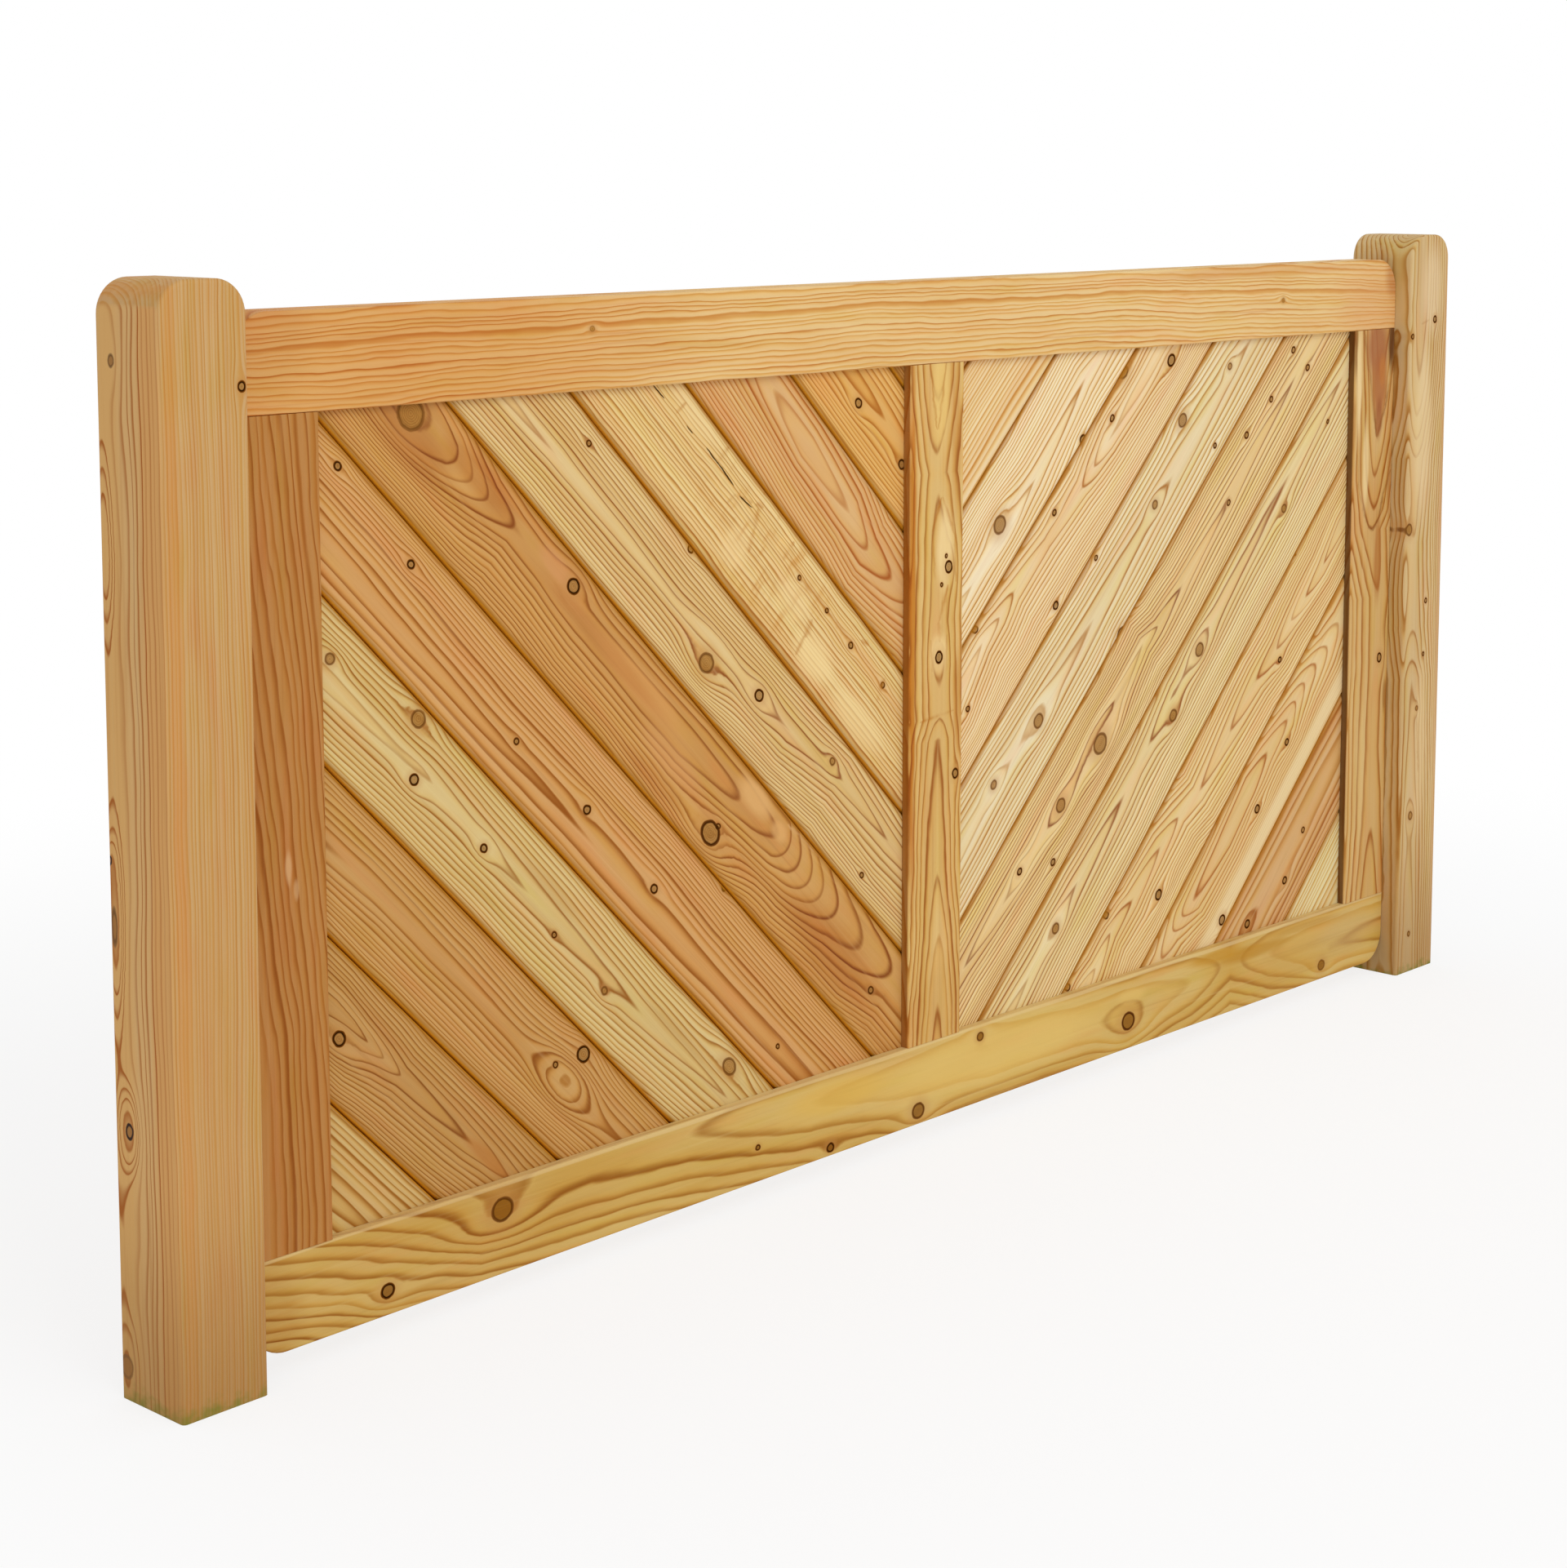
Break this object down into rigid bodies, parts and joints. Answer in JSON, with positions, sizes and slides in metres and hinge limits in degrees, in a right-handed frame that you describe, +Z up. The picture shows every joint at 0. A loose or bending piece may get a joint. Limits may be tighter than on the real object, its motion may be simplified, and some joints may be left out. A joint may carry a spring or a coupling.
{
  "type": "wooden garden fence panel",
  "caption": "Low garden fence panel: a framed field of diagonal tongue and groove boards, a mullion and a round-topped post at each end.",
  "frame": {"origin": "middle of the footprint, on the ground under the posts", "axes": "+X along the fence, to the right seen from the front; +Y through the fence to the back; +Z up"},
  "size_m": [1.976, 0.088, 0.95],
  "materials": {
    "larch_cream": "planed, untreated larch, lightly weathered",
    "larch_yellow": "planed, untreated larch, lightly weathered",
    "larch_tan": "planed, untreated larch, lightly weathered",
    "larch_orange": "planed, untreated larch, lightly weathered",
    "larch_red": "planed, untreated larch, lightly weathered",
    "larch_pink": "planed, untreated larch, lightly weathered",
    "larch_olive": "planed, untreated larch, lightly weathered",
    "beech": "planed, untreated beech"
  },
  "bodies": {
    "root": {"post_left": "larch_tan", "post_right": "larch_olive", "top_rail": "larch_orange", "bottom_rail": "larch_yellow", "stile_left": "larch_red", "stile_right": "larch_orange", "mullion": "larch_tan", "post_dowels_left": "beech", "post_dowels_right": "beech", "left_board_01": "larch_red", "left_board_02": "larch_orange", "left_board_03": "larch_pink", "left_board_04": "larch_cream", "left_board_05": "larch_cream", "left_board_06": "larch_red", "left_board_07": "larch_orange", "left_board_08": "larch_yellow", "left_board_09": "larch_orange", "left_board_10": "larch_tan", "left_board_11": "larch_cream", "right_board_01": "larch_tan", "right_board_02": "larch_cream", "right_board_03": "larch_cream", "right_board_04": "larch_cream", "right_board_05": "larch_cream", "right_board_06": "larch_cream", "right_board_07": "larch_cream", "right_board_08": "larch_yellow", "right_board_09": "larch_cream", "right_board_10": "larch_pink", "right_board_11": "larch_cream"}
  },
  "joints": []
}
